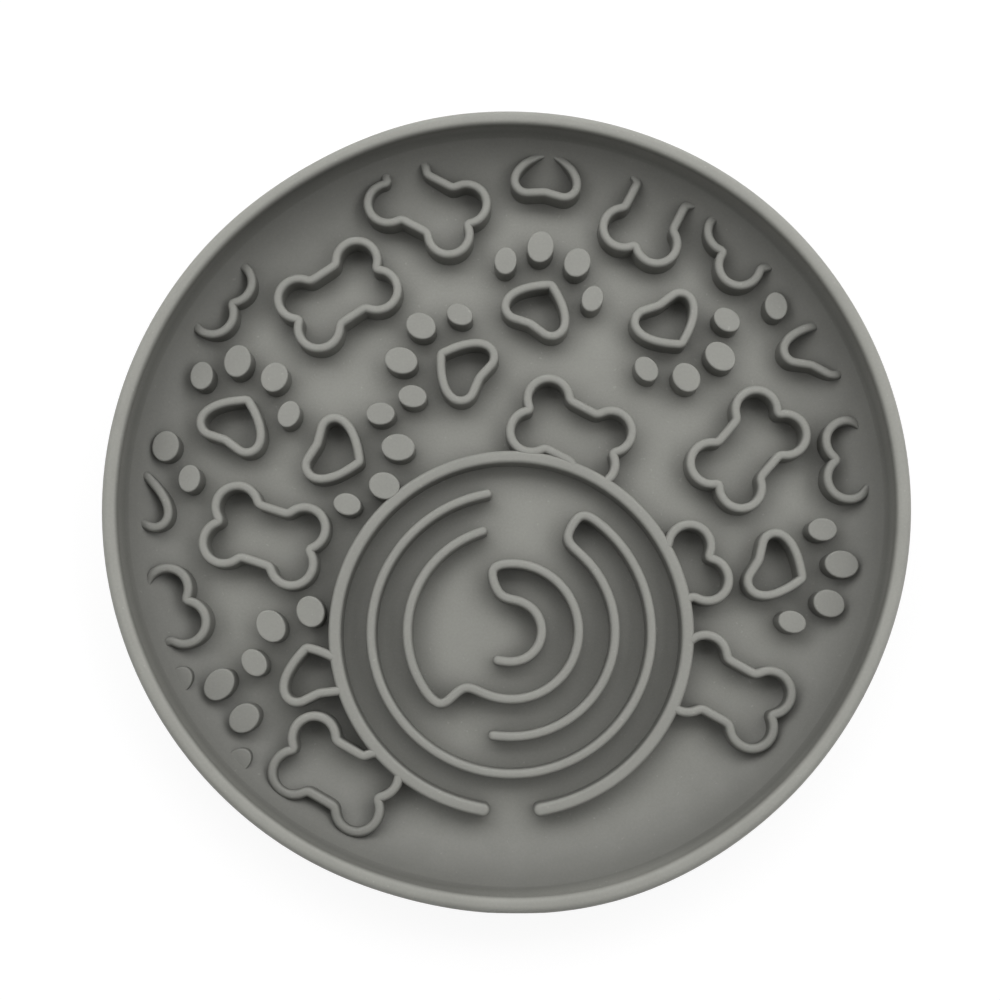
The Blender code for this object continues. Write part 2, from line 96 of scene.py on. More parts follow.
# Bone and paw print
BONE_LENGTH = 28.8 * MM
BONE_SHAFT_WIDTH = 13.8 * MM
BONE_LOBE_RADIUS = 5.4 * MM
BONE_LOBE_SPREAD = 9.5 * MM
BONE_SOFTNESS = 0.75 * MM
PAD_LENGTH = 11.7 * MM
PAD_WIDTH = 16.4 * MM
PAD_LOBE_RADIUS = 3.35 * MM
PAD_NOTCH_DEPTH = 0.8 * MM
PAD_LOBE_END_DEG = 194.0
PAD_TIP_SWELL = (2.0 * MM, 3.55 * MM)
PAD_SIDE_SWELL = 3.7 * MM
PAD_SOFTNESS = 0.4 * MM
TOE_LENGTHS = (7.4 * MM, 8.6 * MM, 8.0 * MM, 7.1 * MM)
TOE_WIDTHS = (5.9 * MM, 7.0 * MM, 6.9 * MM, 5.6 * MM)
TOE_DISTANCES = (14.6 * MM, 15.2 * MM, 14.5 * MM, 13.4 * MM)
TOE_ANGLES_DEG = (66.3, 27.8, -13.1, -56.7)
TOE_TURNS_DEG = (23.4, 17.5, 4.7, 7.6)

# Round maze: each winding wall lists its lanes and the angles where it runs in them
MAZE_CENTRE = np.array((1.2, -33.5)) * MM
MAZE_RADII = tuple((8.0 + 9.0 * lane) * MM for lane in range(5))
MAZE_RING_WIDTH = 3.2 * MM
MAZE_WALL_WIDTH = 2.4 * MM
MAZE_DOOR_WIDTH = 14.0 * MM
MAZE_DOOR_DEG = -90.0
MAZE_MIDDLE_TURNS_DEG = ((3, 100.0, 420.0), (2, 60.0, -100.0))
MAZE_CENTRE_TURNS_DEG = ((2, 106.0, 228.0), (1, 228.0, 470.0), (0, 110.0, -115.0))
MAZE_SOFTNESS = 2.6 * MM

# Where the bones lie: x, y in millimetres and the turn of their length in degrees
BONES = (
    (-20.6, 77.5, -28.3),
    (-43.5, 53.0, 34.5),
    (-81.3, 56.2, -28.3),
    (38.9, 76.8, 63.1),
    (67.8, 67.7, 16.0),
    (16.5, 17.0, -28.0),
    (61.5, 12.5, 49.2),
    (95.6, 9.7, 0.0),
    (40.1, -20.4, 26.2),
    (54.9, -48.4, -29.4),
    (-60.9, -9.6, -17.9),
    (-90.3, -31.8, 30.0),
    (-41.9, -68.3, -29.5),
)

# Where the paw prints lie: x, y in millimetres, where the toes point, whether the pad shows, which toes do
PAWS = (
    (-68.7, 20.0, 62.5, True, (0, 1, 2, 3)),
    (8.9, 50.4, 62.2, True, (0, 1, 2, 3)),
    (-11.8, 34.1, 147.5, True, (0, 1, 2, 3)),
    (-42.6, 11.4, -22.6, True, (0, 1, 2, 3)),
    (10.8, 86.4, 82.6, True, ()),
    (80.2, 39.8, 70.8, True, (0,)),
    (42.2, 44.9, -61.7, True, (0, 1, 2, 3)),
    (68.7, -18.1, -23.4, True, (0, 1, 2, 3)),
    (-92.6, 0.0, 77.7, True, (2, 3)),
    (-48.0, -43.2, 106.4, True, (0, 1, 2)),
    (-78.1, -60.1, 34.2, False, (1, 2)),
)

# The last paw's outer toes: the rim leaves only slivers of them
SLIVER_TOES = (0, 3)

# Fineness: steps along a line, then counts for each round form
DRAWING_STEP = 0.12 * MM
RIDGE_STEP = 0.42 * MM
CUP_PROFILE_STEP = 0.3 * MM
LEAST_ARC_STEPS = 2
LEAST_PATH_POINTS = 8
SOFTENING_SPAN = 3
PAD_SIDE_POINTS = 120
EDGE_STEPS = 6
CAP_STEPS = 7
CAP_END_DEG = 86.0
TOE_STEPS = 56
COVE_POINTS = 60
BEAD_POINTS = 120
FLOOR_RINGS = tuple(12.0 * ring * MM for ring in range(1, 7))
ROUND_STEPS = 288
CUP_HOLLOW_POINTS = 12
CUP_STEPS = 64
SHARP_DEG = 50.0

# Levels that follow
COVE_RADIUS = COVE_RUN / math.sin(math.radians(COVE_END_SLOPE_DEG))
COVE_HEIGHT = COVE_RADIUS * (1 - math.cos(math.radians(COVE_END_SLOPE_DEG)))
BEAD_CENTRE = OUTER_RADIUS - BEAD_RADIUS
FLAT_RADIUS = BEAD_CENTRE - BEAD_RADIUS - RIM_WALL_DRAFT - COVE_RUN
FLOOR_TOP = CUP_HEIGHT + SHEET_THICKNESS
BEAD_LEVEL = FLOOR_TOP + COVE_HEIGHT + RIM_WALL_HEIGHT
RIDGE_TOP = FLOOR_TOP + RIDGE_HEIGHT
MAZE_LIMIT = MAZE_RADII[-1] + MAZE_RING_WIDTH / 2 - RIDGE_EDGE_RUN

# Silicone
# Painted light: the dish's copy of the silicone colour is lighter than the raised pieces', though the
# silicone is one colour
DISH_COLOUR_WITH_PAINTED_LIGHT = (0.364, 0.364, 0.3335)
DISH_ROUGHNESS = 0.56
RAISED_COLOUR = (0.335, 0.335, 0.308)
RAISED_ROUGHNESS = 0.54
SILICONE_IOR = 1.41

# Mottling, grain and dust: a noise's scale and detail, the range of it that counts, and its tones there
TEXTURES = (
    (70.0, 3.0, 0.3, 0.7, 0.965, 1.035),
    (1500.0, 2.0, 0.3, 0.7, 0.97, 1.03),
    (900.0, 1.0, 0.73, 0.80, 1.0, 1.18),
)

# Uneven sheen: a noise's scale and detail, the range of it that counts, and how far the roughness swings
SHEEN_NOISE = (240.0, 2.0)
SHEEN_RANGE = (0.3, 0.7)
SHEEN_SWING = (-0.05, 0.06)

# Fine moulded bump
BUMP_NOISE = (2600.0, 2.0)
BUMP_STRENGTH = 0.12
BUMP_DEPTH = 0.06 * MM

# Painted shade: deep places are painted darker than open ones
PAINTED_SHADE_REACH = 32.0 * MM
PAINTED_SHADE_SAMPLES = 8
PAINTED_SHADE_DEEP = 0.25
PAINTED_SHADE_TONE = 0.44
PAINTED_SHADE_OPEN_TONE = 1.0

# Bands of painted shade and painted highlight, darker in the cove as painted shade and lighter on bead and
# tops as
# painted highlight: what each follows, from where to where, and its tone at either end
COVE_PAINTED_SHADE_BAND = ("radius", 76.0 * MM, 92.0 * MM, 1.0, 0.74)
DISH_PAINTED_LIGHT_BANDS = (
    ("radius", 76.0 * MM, 86.0 * MM, 1.0, 0.765),
    ("radius", 86.0 * MM, 93.0 * MM, 1.0, 0.77),
    ("radius", 95.15 * MM, 96.65 * MM, 1.0, 1.86),
)
WALL_PAINTED_LIGHT_BANDS = (COVE_PAINTED_SHADE_BAND, ("height", RIDGE_TOP - 1.6 * MM, RIDGE_TOP - 0.5 * MM, 0.95, 1.06))
STUD_PAINTED_LIGHT_BANDS = (COVE_PAINTED_SHADE_BAND, ("height", RIDGE_TOP - 0.9 * MM, RIDGE_TOP - 0.2 * MM, 0.95, 1.03))

# White floor: its half width, how pale it is to light, how much shadow it shows, and its glow by distance
FLOOR_HALF = 3.0
FLOOR_BOUNCE = 0.8
FLOOR_SHADE = 0.2
FLOOR_GLOW = (0.2, 1.0, 0.89, 1.0)

# Even light from all round, and lamps aimed at the middle of the mat: place, width and length, watts
WORLD_LIGHT = 0.054
LAMP_AIM = (0.0, 0.0, 0.0)
LAMPS = (
    ("key", (0.0, 0.787, 0.906), (2.4, 0.8), 12.6),
    ("left", (-0.834, 0.0, 0.863), (1.2, 0.6), 2.6),
    ("right", (0.834, 0.0, 0.863), (1.2, 0.6), 4.2),
)

# Camera, from the ellipses of the rim
CAMERA_AIM = (-1.61 * MM, -0.65 * MM, 11.5 * MM)
CAMERA_DISTANCE = 315.17 * MM
CAMERA_TILT_DEG = 7.92
CAMERA_LENS = 45.0
CAMERA_SENSOR = 36.0
CAMERA_NEAR = 0.01


# Steps of the materials

def noise(tree, position, scale, detail):
    node = tree.nodes.new("ShaderNodeTexNoise")
    node.inputs["Scale"].default_value = scale
    node.inputs["Detail"].default_value = detail
    tree.links.new(position, node.inputs["Vector"])
    return node.outputs["Fac"]


def remap(tree, value, low, high, to_low, to_high):
    """Carries one range of a value over to another, and holds it at the ends."""
    node = tree.nodes.new("ShaderNodeMapRange")
    node.inputs["From Min"].default_value = low
    node.inputs["From Max"].default_value = high
    node.inputs["To Min"].default_value = to_low
    node.inputs["To Max"].default_value = to_high
    tree.links.new(value, node.inputs["Value"])
    return node.outputs["Result"]


def combine(tree, operation, first, second):
    node = tree.nodes.new("ShaderNodeMath")
    node.operation = operation
    tree.links.new(first, node.inputs[0])
    tree.links.new(second, node.inputs[1])
    return node.outputs["Value"]


def length_of(tree, vector):
    node = tree.nodes.new("ShaderNodeVectorMath")
    node.operation = "LENGTH"
    tree.links.new(vector, node.inputs[0])
    return node.outputs["Value"]


def measures_at(tree, position):
    """A point's distance from the middle of the mat in plan, and its height."""
    split = tree.nodes.new("ShaderNodeSeparateXYZ")
    tree.links.new(position, split.inputs[0])
    flat = tree.nodes.new("ShaderNodeVectorMath")
    flat.operation = "MULTIPLY"
    flat.inputs[1].default_value = (1.0, 1.0, 0.0)
    tree.links.new(position, flat.inputs[0])
    return {"radius": length_of(tree, flat.outputs["Vector"]), "height": split.outputs["Z"]}


def openness(tree):
    """One in the open, less in deep places; it sets the painted shade of deep places."""
    node = tree.nodes.new("ShaderNodeAmbientOcclusion")
    node.samples = PAINTED_SHADE_SAMPLES
    node.inputs["Distance"].default_value = PAINTED_SHADE_REACH
    return node.outputs["AO"]


def tone_with_painted_shade(tree, position, painted_light_bands):
    """Soft mottling, fine grain and specks of dust, times the painted shade of deep places and the painted
    shade and highlight of each band.
    """
    factors = []
    for scale, detail, *ranges in TEXTURES:
        factors.append(remap(tree, noise(tree, position, scale, detail), *ranges))
    # painted shade: deep places darkened in the colour by ambient occlusion
    factors.append(remap(tree, openness(tree), PAINTED_SHADE_DEEP, 1.0, PAINTED_SHADE_TONE, PAINTED_SHADE_OPEN_TONE))
    measures = measures_at(tree, position)
    # painted shade in the cove and painted highlight on bead and tops, band by band
    factors += [remap(tree, measures[measure], *ranges) for measure, *ranges in painted_light_bands]
    tone = factors[0]
    for factor in factors[1:]:
        tone = combine(tree, "MULTIPLY", tone, factor)
    return tone


def silicone(name, colour, roughness, painted_light_bands):
    """Matte moulded silicone with an uneven tone and sheen, painted shade in deep places and in the cove,
    painted highlight on bead and tops, and a faint moulded texture.
    """
    made = bpy.data.materials.new(name)
    made.use_nodes = True
    tree = made.node_tree
    shader = tree.nodes["Principled BSDF"]
    position = tree.nodes.new("ShaderNodeTexCoord").outputs["Object"]
    tint = tree.nodes.new("ShaderNodeVectorMath")
    tint.operation = "SCALE"
    tint.inputs[0].default_value = colour
    tree.links.new(tone_with_painted_shade(tree, position, painted_light_bands), tint.inputs["Scale"])
    tree.links.new(tint.outputs["Vector"], shader.inputs["Base Color"])
    swing = [roughness + change for change in SHEEN_SWING]
    sheen = remap(tree, noise(tree, position, *SHEEN_NOISE), *SHEEN_RANGE, *swing)
    tree.links.new(sheen, shader.inputs["Roughness"])
    bump = tree.nodes.new("ShaderNodeBump")
    bump.inputs["Strength"].default_value = BUMP_STRENGTH
    bump.inputs["Distance"].default_value = BUMP_DEPTH
    tree.links.new(noise(tree, position, *BUMP_NOISE), bump.inputs["Height"])
    tree.links.new(bump.outputs["Normal"], shader.inputs["Normal"])
    shader.inputs["IOR"].default_value = SILICONE_IOR
    return made


# Meshes

def add_piece(name, points, faces, look, slot, nodes=()):
    """Adds one closed piece in the row frame, lets it ride on the mat and hides the solids it stands for."""
    mesh = bpy.data.meshes.new(name)
    mesh.from_pydata([tuple(point) for point in points], [], faces)
    shape = bmesh.new()
    shape.from_mesh(mesh)
    bmesh.ops.recalc_face_normals(shape, faces=shape.faces)
    shape.to_mesh(mesh)
    shape.free()
    mesh.shade_smooth()
    mesh.set_sharp_from_angle(angle=math.radians(SHARP_DEG))
    mesh.materials.append(look)
    piece = bpy.data.objects.new(name, mesh)
    bpy.context.scene.collection.objects.link(piece)
    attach(piece, "root")
    if nodes:
        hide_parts(*nodes)


def loft(rings, looped):
    """Skins a row of rings of equal length; a row that doesn't loop gets a cap at each end."""
    count = len(rings)
    size = len(rings[0])
    faces = []
    for first in range(count if looped else count - 1):
        second = (first + 1) % count
        for j in range(size):
            k = (j + 1) % size
            faces.append((first * size + j, second * size + j, second * size + k, first * size + k))
    if not looped:
        faces.append(tuple(range(size)))
        faces.append(tuple(range((count - 1) * size, count * size)))
    return np.vstack(rings), faces


def lathe(profile, centre, steps):
    """Turns a profile of radius and height round a centre; it starts and ends on the axis."""
    turns = 2 * math.pi * np.arange(steps) / steps
    cos, sin = np.cos(turns), np.sin(turns)
    inner = profile[1:-1]
    points = [(*centre, profile[0][1])]
    for radius, height in inner:
        points += [(centre[0] + radius * c, centre[1] + radius * s, height) for c, s in zip(cos, sin)]
    points.append((*centre, profile[-1][1]))
    faces = []
    last = len(points) - 1
    for j in range(steps):
        k = (j + 1) % steps
        faces.append((0, 1 + j, 1 + k))
        for row in range(len(inner) - 1):
            low, high = 1 + row * steps, 1 + (row + 1) * steps
            faces.append((low + j, high + j, high + k, low + k))
        faces.append((last - steps + j, last, last - steps + k))
    return points, faces


# Paths

def arc(centre, radius, start_deg, end_deg):
    length = radius * math.radians(abs(end_deg - start_deg))
    steps = max(LEAST_ARC_STEPS, math.ceil(length / DRAWING_STEP))
    turns = np.radians(np.linspace(start_deg, end_deg, steps + 1))
    return np.array(centre) + radius * np.column_stack((np.cos(turns), np.sin(turns)))


def resample(path, step, closed):
    """Spreads points evenly along a path."""
    if closed:
        path = np.vstack((path, path[:1]))
    along = np.concatenate(([0.0], np.cumsum(np.hypot(*np.diff(path, axis=0).T))))
    count = max(LEAST_PATH_POINTS, round(along[-1] / step))
    marks = np.linspace(0.0, along[-1], count, endpoint=not closed)
    return np.column_stack([np.interp(marks, along, path[:, k]) for k in (0, 1)])


def soften(path, reach, closed):
    """Rounds a path's corners: each point becomes a mean of its neighbours, weighted by a bell curve."""
    path = resample(path, DRAWING_STEP, closed)
    half = math.ceil(SOFTENING_SPAN * reach / DRAWING_STEP)
    weights = np.exp(-0.5 * (np.arange(-half, half + 1) * DRAWING_STEP / reach) ** 2)
    weights /= weights.sum()
    if closed:
        padded = np.vstack((path[-half:], path, path[:half]))
    else:
        padded = np.vstack((2 * path[0] - path[half:0:-1], path, 2 * path[-1] - path[-2:-half - 2:-1]))
    return np.column_stack([np.convolve(padded[:, k], weights, "valid") for k in (0, 1)])


def place(path, x, y, turn_deg):
    """Turns a path about its middle and moves it to its place."""
    cos, sin = math.cos(math.radians(turn_deg)), math.sin(math.radians(turn_deg))
    return np.array((x, y)) + path @ np.array(((cos, sin), (-sin, cos)))


def bone_path():
    """A bone along +X: two straight sides joined by a pair of lobes at each end."""
    lobe_x = BONE_LENGTH / 2 - BONE_LOBE_RADIUS
    lobe_y = BONE_LOBE_SPREAD / 2
    side = math.degrees(math.asin((BONE_SHAFT_WIDTH / 2 - lobe_y) / BONE_LOBE_RADIUS))
    notch = math.degrees(math.asin(lobe_y / BONE_LOBE_RADIUS))
    half = np.vstack((
        arc((lobe_x, -lobe_y), BONE_LOBE_RADIUS, side - 180, notch),
        arc((lobe_x, lobe_y), BONE_LOBE_RADIUS, -notch, 180 - side),
    ))
    return soften(np.vstack((half, -half)), BONE_SOFTNESS, True)


def pad_path():
    """A pad with its tip on +X: sides that swell to two lobes and a shallow notch behind."""
    tip = PAD_LENGTH / 2
    lobe_x = PAD_LOBE_RADIUS - tip - PAD_NOTCH_DEPTH
    lobe_y = PAD_WIDTH / 2 - PAD_LOBE_RADIUS
    swell = np.array((
        (tip, 0.0),
        (tip - PAD_TIP_SWELL[0], PAD_TIP_SWELL[1]),
        (lobe_x + PAD_SIDE_SWELL, PAD_WIDTH / 2),
        (lobe_x, PAD_WIDTH / 2),
    ))
    t = np.linspace(0.0, 1.0, PAD_SIDE_POINTS)[:, None]
    side = swell[0] * (1 - t) ** 3 + 3 * swell[1] * t * (1 - t) ** 2
    side += 3 * swell[2] * t**2 * (1 - t) + swell[3] * t**3
    upper = np.vstack((side, arc((lobe_x, lobe_y), PAD_LOBE_RADIUS, 90, PAD_LOBE_END_DEG)))
    lower = upper[:0:-1] * (1, -1)
    return soften(np.vstack((upper, ((-tip, 0.0),), lower)), PAD_SOFTNESS, True)


def maze_path(stretches):
    """A run of arcs, each given as its lane and the angles where it starts and ends."""
    path = np.vstack([arc(MAZE_CENTRE, MAZE_RADII[lane], start, end) for lane, start, end in stretches])
    return soften(path, MAZE_SOFTNESS, False)


def shown(points):
    """Which points lie neither in the rim nor inside the maze."""
    in_dish = np.hypot(*(points - FADE_CENTRE).T) < FADE_LIMIT
    return in_dish & (np.hypot(*(points - MAZE_CENTRE).T) > MAZE_LIMIT)


def shown_stretch(path):
    """The longest shown stretch of a closed path, and whether all of it shows."""
    visible = shown(path)
    if visible.all():
        return path, True
    start = int(np.flatnonzero(~visible)[0])
    path = np.roll(path, -start, axis=0)
    visible = np.roll(visible, -start)
    edges = np.flatnonzero(np.diff(np.concatenate(([0], visible.astype(int), [0]))))
    runs = list(zip(edges[::2], edges[1::2]))
    first, last = max(runs, key=lambda run: run[1] - run[0])
    return path[first:last], False


# Surfaces

def dish_height(plan):
    """Height of the dish's upper surface under points in plan."""
    run = np.hypot(plan[..., 0], plan[..., 1]) - FLAT_RADIUS
    fall = np.sqrt(COVE_RADIUS**2 - np.clip(run, 0.0, COVE_RUN) ** 2)
    climb = np.clip(run - COVE_RUN, 0.0, RIM_WALL_DRAFT) * RIM_WALL_HEIGHT / RIM_WALL_DRAFT
    return FLOOR_TOP + COVE_RADIUS - fall + climb


def crest_height(plan, from_edge):
    """Height of a wall's top: a rounded shoulder, then level, sinking near the rim until it is hidden."""
    lean = 1 - np.clip(from_edge / RIDGE_EDGE_RUN, 0.0, 1.0)
    off = plan - FADE_CENTRE
    beyond = np.hypot(off[..., 0], off[..., 1]) - FADE_START
    fade = np.clip(beyond / (FADE_END - FADE_START), 0.0, None)
    top = RIDGE_TOP - RIDGE_EDGE_DROP * (1 - np.sqrt(1 - lean**2)) - FADE_DEPTH * fade**2
    return np.maximum(top, dish_height(plan) - HIDDEN_SINK)


def foot_height(plan, top):
    """Where a wall's foot goes: sunk a little into the dish, and below its own top where that fades out."""
    return np.minimum(dish_height(plan) - SINK, top - LEAST_SIDE)


def rounded_ends(path, ways, half):
    """Carries a path on at both ends, and gives how far round its end each point lies."""
    turns = np.radians(np.linspace(CAP_END_DEG, 0.0, CAP_STEPS, endpoint=False))
    before = path[0] - ways[0] * (half * np.sin(turns))[:, None]
    after = path[-1] + ways[-1] * (half * np.sin(turns[::-1]))[:, None]
    longer = np.vstack((before, path, after))
    ways = np.vstack((np.repeat(ways[:1], CAP_STEPS, 0), ways, np.repeat(ways[-1:], CAP_STEPS, 0)))
    return longer, ways, np.concatenate((turns, np.zeros(len(path)), turns[::-1]))


def sweep(path, closed, width, round_ends):
    """Rings across a wall that follows a path, with a rounded top and, if asked, rounded ends."""
    half = width / 2
    shoulder = np.linspace(0.0, math.pi / 2, EDGE_STEPS + 1)
    side = (half - RIDGE_EDGE_RUN * (1 - np.cos(shoulder))) / half
    across = np.concatenate((-side, [0.0], side[::-1]))
    if closed:
        ways = np.roll(path, -1, axis=0) - np.roll(path, 1, axis=0)
    else:
        ways = np.gradient(path, axis=0)
    ways /= np.hypot(*ways.T)[:, None]
    cap = np.zeros(len(path))
    if round_ends:
        path, ways, cap = rounded_ends(path, ways, half)
    normals = np.column_stack((-ways[:, 1], ways[:, 0]))
    offsets = half * np.cos(cap)[:, None] * across[None, :]
    plan = path[:, None, :] + normals[:, None, :] * offsets[:, :, None]
    from_edge = half - np.hypot(half * np.sin(cap)[:, None], offsets)
    top = crest_height(plan, from_edge)
    feet = foot_height(plan[:, (0, -1)], top[:, (0, -1)])
    upper = np.dstack((plan, top))
    left = np.dstack((plan[:, :1], feet[:, :1]))
    right = np.dstack((plan[:, -1:], feet[:, -1:]))
    return list(np.concatenate((left, upper, right), axis=1))


def room_at_rim(point):
    return STUD_LIMIT - math.hypot(*point)


def room_at_maze(point):
    return math.dist(point, MAZE_CENTRE) - MAZE_LIMIT


def trimmed(outline):
    """Cuts an outline back at the rim and at the flat top of the outer maze ring."""
    for room in (room_at_rim, room_at_maze):
        kept = []
        for here, after in zip(outline, np.roll(outline, -1, axis=0)):
            start, end = room(here), room(after)
            if start > 0:
                kept.append(here)
            if start * end < 0:
                kept.append(here + (after - here) * start / (start - end))
        outline = np.array(kept)
    return outline


def stud(outline):
    """Rings of a straight-sided stud with a rounded edge and a flat top."""
    middle = outline.mean(0)
    shoulder = np.linspace(0.0, math.pi / 2, EDGE_STEPS + 1)
    rays = outline - middle
    lengths = np.hypot(*rays.T)[:, None]
    rings = []
    for turn in shoulder:
        inset = STUD_EDGE_ROUND * (1 - math.cos(turn))
        plan = middle + rays * (1 - np.minimum(inset / lengths, STUD_INSET_LIMIT))
        top = RIDGE_TOP - STUD_EDGE_ROUND * (1 - math.sin(turn))
        rings.append(np.column_stack((plan, np.full(len(plan), top))))
    foot = foot_height(outline, rings[0][:, 2])
    rings.insert(0, np.column_stack((outline, foot)))
    flat = middle + (rings[-1][:, :2] - middle) * STUD_FLAT_SHARE
    rings.append(np.column_stack((flat, rings[-1][:, 2])))
    return rings


def cove_arc(radius):
    """Profile of one face of the cove, from the edge of the flat floor up to the rim's wall."""
    turns = np.linspace(0.0, math.radians(COVE_END_SLOPE_DEG), COVE_POINTS)
    level = FLOOR_TOP + COVE_RADIUS
    return np.column_stack((FLAT_RADIUS + radius * np.sin(turns), level - radius * np.cos(turns)))


def rim_profile():
    """Profile of cove and rim: up the inside, over the bead with its mould line, and down the back."""
    inside = cove_arc(COVE_RADIUS)
    wall_slope = math.atan2(RIM_WALL_HEIGHT, RIM_WALL_DRAFT)
    under = math.acos((SHEET_THICKNESS - BEAD_RADIUS * math.sin(wall_slope)) / BEAD_RADIUS)
    turns = np.linspace(math.pi, wall_slope - math.pi / 2 - under, BEAD_POINTS)
    line = np.exp(-(((np.degrees(turns) - MOULD_LINE_DEG) / MOULD_LINE_SPREAD_DEG) ** 2))
    radii = BEAD_RADIUS - MOULD_LINE_DEPTH * line
    cos, sin = np.cos(turns), np.sin(turns)
    power = np.where((cos < 0) & (sin > 0), 2 / BEAD_SQUARENESS, 1.0)
    bead = np.column_stack((
        BEAD_CENTRE + radii * np.sign(cos) * np.abs(cos) ** power,
        BEAD_LEVEL + radii * np.sign(sin) * np.abs(sin) ** power,
    ))
    bend = inside[-1] + SHEET_THICKNESS * np.array((math.sin(wall_slope), -math.cos(wall_slope)))
    back = cove_arc(COVE_RADIUS + SHEET_THICKNESS)[::-1]
    return np.vstack((inside, bead, bend[None, :], back))


def sway(points):
    """Moves the cove and the rim in or out, the more the nearer they are to the bead."""
    radius = np.hypot(points[:, 0], points[:, 1])
    angle = np.degrees(np.arctan2(points[:, 1], points[:, 0]))
    shift = np.zeros(len(points))
    for middle, amount, spread in RIM_SWAYS:
        off = (angle - middle + 180) % 360 - 180
        shift += amount * np.exp(-0.5 * (off / spread) ** 2)
    share = np.clip((radius - FLAT_RADIUS) / (BEAD_CENTRE - FLAT_RADIUS), 0.0, 1.0)
    moved = points[:, :2] * (1 + shift * share / np.maximum(radius, FLAT_RADIUS))[:, None]
    limit = OUTER_RADIUS - HAIR
    height = np.minimum(points[:, 2], BEAD_LEVEL + BEAD_RADIUS - HAIR)
    return np.column_stack((np.clip(moved, -limit, limit), height))


# Pieces of the mat

def make_dish(look):
    """One shell from the middle of the floor over the bead to the middle of the underside."""
    top = [(0.0, FLOOR_TOP)] + [(radius, FLOOR_TOP) for radius in FLOOR_RINGS]
    edge = [tuple(spot) for spot in rim_profile()]
    under = [(radius, CUP_HEIGHT) for radius in reversed(FLOOR_RINGS)] + [(0.0, CUP_HEIGHT)]
    points, faces = lathe(top + edge + under, (0.0, 0.0), ROUND_STEPS)
    add_piece("dish_shell", sway(np.array(points)), faces, look, "silicone_floor", ("floor_disc", "rim_ring"))


def make_cups(look):
    """Suction cups: a neck that flares to a soft lip round a shallow hollow."""
    hollow = CUP_RADIUS - CUP_LIP_WIDTH
    shares = np.linspace(1.0, 0.0, CUP_HOLLOW_POINTS)
    outline = np.vstack((
        ((0.0, CUP_HEIGHT + SINK), (CUP_NECK_RADIUS, CUP_HEIGHT + SINK)),
        ((CUP_NECK_RADIUS, CUP_HEIGHT - CUP_NECK_LENGTH), (CUP_RADIUS, CUP_LIP_HEIGHT), (CUP_RADIUS, 0.0)),
        np.column_stack((hollow * shares, CUP_HOLLOW_DEPTH * (1 - shares**2))),
    ))
    soft = resample(soften(outline, CUP_SOFTNESS, False), CUP_PROFILE_STEP, False)
    soft = np.maximum(soft, 0.0)
    soft[0, 0] = 0.0
    soft[-1, 0] = 0.0
    centres = [(0.0, 0.0)]
    for k in range(CUP_RING_COUNT):
        turn = 2 * math.pi * k / CUP_RING_COUNT
        centres.append((CUP_RING_RADIUS * math.cos(turn), CUP_RING_RADIUS * math.sin(turn)))
    for number, centre in enumerate(centres, 1):
        points, faces = lathe([tuple(spot) for spot in soft], centre, CUP_STEPS)
        add_piece(f"suction_cup_{number}", points, faces, look, "silicone_floor")


def make_motif(name, path, node, look):
    """The wall of a bone or pad, as far as the rim and the maze leave it in sight."""
    stretch, closed = shown_stretch(path)
    rings = sweep(resample(stretch, RIDGE_STEP, closed), closed, RIDGE_WIDTH, False)
    add_piece(name, *loft(rings, closed), look, "silicone_walls", (node,))


def make_bones(look):
    path = bone_path()
    for number, (x, y, turn) in enumerate(BONES, 1):
        placed = place(path, x * MM, y * MM, turn)
        make_motif(f"bone_ridge_{number:02d}", placed, f"bone_wall_{number:02d}", look)


def make_toe(name, paw, kind, look, nodes):
    """One oval toe of a paw print, cut back at the rim and the maze."""
    x, y, turn = paw[0] * MM, paw[1] * MM, paw[2]
    ray = math.radians(turn + TOE_ANGLES_DEG[kind])
    length, width = TOE_LENGTHS[kind], TOE_WIDTHS[kind]
    turns = 2 * math.pi * np.arange(TOE_STEPS) / TOE_STEPS
    oval = np.column_stack((length / 2 * np.cos(turns), width / 2 * np.sin(turns)))
    centre = (x + TOE_DISTANCES[kind] * math.cos(ray), y + TOE_DISTANCES[kind] * math.sin(ray))
    outline = trimmed(place(oval, *centre, turn + TOE_TURNS_DEG[kind]))
    add_piece(name, *loft(stud(outline), False), look, "silicone_studs", nodes)


def make_paws(pad_look, toe_look):
    path = pad_path()
    toe_number = 0
    for number, paw in enumerate(PAWS, 1):
        x, y, turn, has_pad, toes = paw
        if has_pad:
            placed = place(path, x * MM, y * MM, turn)
            make_motif(f"pad_ridge_{number:02d}", placed, f"paw_pad_{number:02d}", pad_look)
        for kind in toes:
            toe_number += 1
            make_toe(f"toe_{toe_number:02d}", paw, kind, toe_look, (f"toe_stud_{toe_number:02d}",))
    for kind in SLIVER_TOES:
        toe_number += 1
        make_toe(f"toe_{toe_number:02d}", PAWS[-1], kind, toe_look, ())


def make_maze(look):
    """The outer ring with its door, and the two winding walls inside it."""
    door = math.degrees(MAZE_DOOR_WIDTH / MAZE_RADII[-1])
    ring = ((len(MAZE_RADII) - 1, MAZE_DOOR_DEG + door / 2, MAZE_DOOR_DEG + 360 - door / 2),)
    for name, stretches, width, node in (
        ("maze_ridge_outer", ring, MAZE_RING_WIDTH, "maze_outer_ring"),
        ("maze_ridge_middle", MAZE_MIDDLE_TURNS_DEG, MAZE_WALL_WIDTH, "maze_middle_wall"),
        ("maze_ridge_centre", MAZE_CENTRE_TURNS_DEG, MAZE_WALL_WIDTH, "maze_centre_wall"),
    ):
        rings = sweep(resample(maze_path(stretches), RIDGE_STEP, False), False, width, True)
        add_piece(name, *loft(rings, False), look, "silicone_walls", (node,))


# Stage

